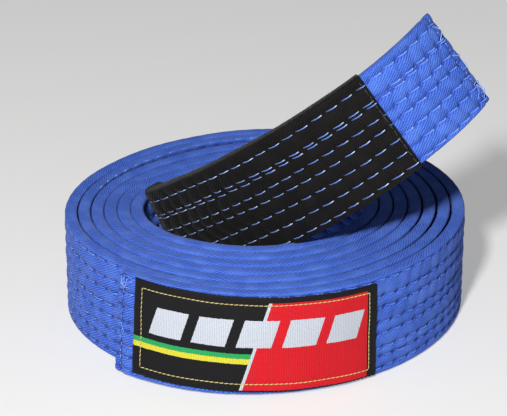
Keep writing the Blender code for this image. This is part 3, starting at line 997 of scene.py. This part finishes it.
# Loose thread ends: where each one leaves the cloth, how far it runs along and across, and how far it curls.
# The first number is measured from the tip's end, or from the start of s at the label end.
loose = {
    "radius": 0.00014, "points": 14, "lift": 0.00018, "arch": 0.0006, "clear": 0.0002, "brightness": 0.8,
    "atTip": [
        (-0.0045, -0.0150, 0.0052, 0.0016, 0.25), (-0.0040, -0.0110, 0.0045, -0.0022, -0.2),
        (-0.0050, -0.0040, 0.0050, 0.0030, 0.3), (-0.0042, 0.0025, 0.0046, -0.0018, 0.2),
        (-0.0052, 0.0090, 0.0051, 0.0020, -0.3), (-0.0020, -0.0120, -0.0052, -0.0036, 0.06),
        (-0.0035, 0.0150, 0.0030, -0.0030, 0.2), (-0.0022, -0.0122, -0.0016, -0.0056, -0.05),
    ],
    "atLabel": [
        (0.0070, 0.0176, 0.0050, -0.0030, 0.3), (0.0076, 0.0160, 0.0048, 0.0024, -0.3),
        (0.0068, 0.0150, 0.0062, 0.0030, 0.2), (0.0080, 0.0184, 0.0044, -0.0012, 0.4),
        (0.0066, 0.0130, 0.0034, 0.0046, 0.3), (0.0072, -0.0060, 0.0012, 0.0050, 0.3),
    ],
}


def threadMesh(name, points):
    curve = bpy.data.curves.new(name, "CURVE")
    curve.dimensions, curve.bevel_depth = "3D", loose["radius"]
    curve.bevel_resolution, curve.use_fill_caps = 1, True
    spline = curve.splines.new("POLY")
    spline.points.add(len(points) - 1)
    for point, place in zip(spline.points, points):
        point.co = (*place, 1.0)
    temporary = placed(name, curve)
    made = bpy.data.meshes.new_from_object(temporary.evaluated_get(bpy.context.evaluated_depsgraph_get()))
    bpy.data.objects.remove(temporary)
    return made


def looseThreads(name, end, roots, material, body, quilt):
    bm = bmesh.new()
    t = np.linspace(0.0, 1.0, loose["points"])
    for number, (fromEnd, v0, ds, dv, curl) in enumerate(roots):
        s = end + fromEnd + ds * t + curl * np.sin(math.pi * t) * dv
        v = v0 + dv * t - curl * np.sin(math.pi * t) * ds
        inside = np.clip(s, loose["clear"], beltEnd - loose["clear"])
        depth, _ = quiltDepth(inside, v, quilt)
        lift = loose["lift"] + loose["arch"] * np.sin(math.pi * t) ** 2
        points = laid(s, v, (padding["half"] - depth) * endShape(inside, 0.0, beltEnd) + lift)
        bm.from_mesh(threadMesh(name + str(number), points))
    turnOutwards(bm)
    mesh = bpy.data.meshes.new(name)
    bm.to_mesh(mesh)
    bm.free()
    # Each loose thread takes one colour from the stitch ramp, partway into its painted highlight
    pointValues(mesh, "along", np.full(len(mesh.vertices), loose["brightness"]))
    give(placed(name, mesh), material, rideOn(body))


looseThreads("tipLooseThreads", beltEnd, loose["atTip"], tipThread, "tip", cover["tipQuilt"])
looseThreads("labelLooseThreads", 0.0, loose["atLabel"], blueThread, "label_end", 1.0)
print("loose threads added")


# Hide the CAD parts that each piece stands for
def stands(piece, *names):
    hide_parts(*[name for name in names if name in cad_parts])


def quiltNodes(ending):
    return ["quilt_row_%d_%s" % (row, ending) for row in range(1, rowCount + 1)]


def coverNodes(*stretches):
    return [kind + stretch for stretch in stretches for kind in ("cover_", "core_front_", "core_back_")]


stands(pieces["coverLabelEnd"], *coverNodes("label_end"))
stands(pieces["coverOuterTurn"], *coverNodes("coil"))
stands(pieces["coverInnerTurn"], *coverNodes("inner_turn"))
stands(pieces["coverTailBase"], *coverNodes("rise", "tail"))
stands(pieces["coverTip"], *coverNodes("tip"))
stands(pieces["rankBar"], "rank_bar_inner", "rank_bar_outer")
stands(pieces["stitchesBarFront"], *quiltNodes("inner"), *quiltNodes("outer"))
stands(pieces["stitchesTipFront"], *quiltNodes("tip"))
stands(labelPatch, "label")
stands(labelBorder, "label_thread")
stands(labelEndSeam, "label_end_seam")
stands(tipEndSeam, "tip_end_seam")
stands(barSeam, "rank_bar_seam")

# Floor, lights and camera
room = {
    "floorSize": 3.0, "floorGap": 0.0002, "skyStrength": 0.04, "lightsAim": (0.0, 0.0, 0.04),
    "floor": {
        "Base Color": (0.44, 0.44, 0.44, 1.0), "Roughness": 0.9,
        "Emission Color": (1.0, 1.0, 1.0, 1.0), "Emission Strength": 0.34,
    },
    "lights": [  # name, place, size, power, colour
        ("keyLight", (-0.18, -0.84, 0.68), 0.10, 17.5, (1.0, 0.99, 0.98)),
        ("topFill", (0.00, 0.10, 1.30), 1.0, 1.0, (0.98, 0.99, 1.0)),
        ("frontFill", (0.10, -1.30, 0.30), 0.5, 2.0, (1.0, 1.0, 1.0)),
    ],
    "cameraFrom": (-0.0038, -0.8004, 0.4002), "cameraTo": (-0.0077, 0.0026, 0.0379),
    "lens": 162.7, "sensor": 36.0,
}
bm = bmesh.new()
bmesh.ops.create_grid(bm, x_segments=1, y_segments=1, size=room["floorSize"])
bmesh.ops.translate(bm, verts=bm.verts, vec=(0.0, 0.0, cadLow[2] - room["floorGap"]))
floorMesh = bpy.data.meshes.new("floor")
bm.to_mesh(floorMesh)
bm.free()
floor = placed("floor", floorMesh)
floorMesh.materials.append(newMaterial("paleFloor", room["floor"])[0])


def aimed(item, place, target):
    item.location = place
    item.rotation_euler = (Vector(target) - Vector(place)).to_track_quat("-Z", "Y").to_euler()


for name, place, size, power, colour in room["lights"]:
    data = bpy.data.lights.new(name, "AREA")
    data.shape, data.size, data.energy, data.color = "DISK", size, power, colour
    aimed(placed(name, data), place, room["lightsAim"])
world = bpy.data.worlds.new("paleRoom")
world.use_nodes = True
world.node_tree.nodes["Background"].inputs[0].default_value = (1.0, 1.0, 1.0, 1.0)
world.node_tree.nodes["Background"].inputs[1].default_value = room["skyStrength"]
bpy.context.scene.world = world
bpy.context.scene.view_settings.view_transform = "Standard"
cameraData = bpy.data.cameras.new("camera")
cameraData.lens, cameraData.sensor_width = room["lens"], room["sensor"]
camera = placed("camera", cameraData)
aimed(camera, room["cameraFrom"], room["cameraTo"])
bpy.context.scene.camera = camera
print("room ready")
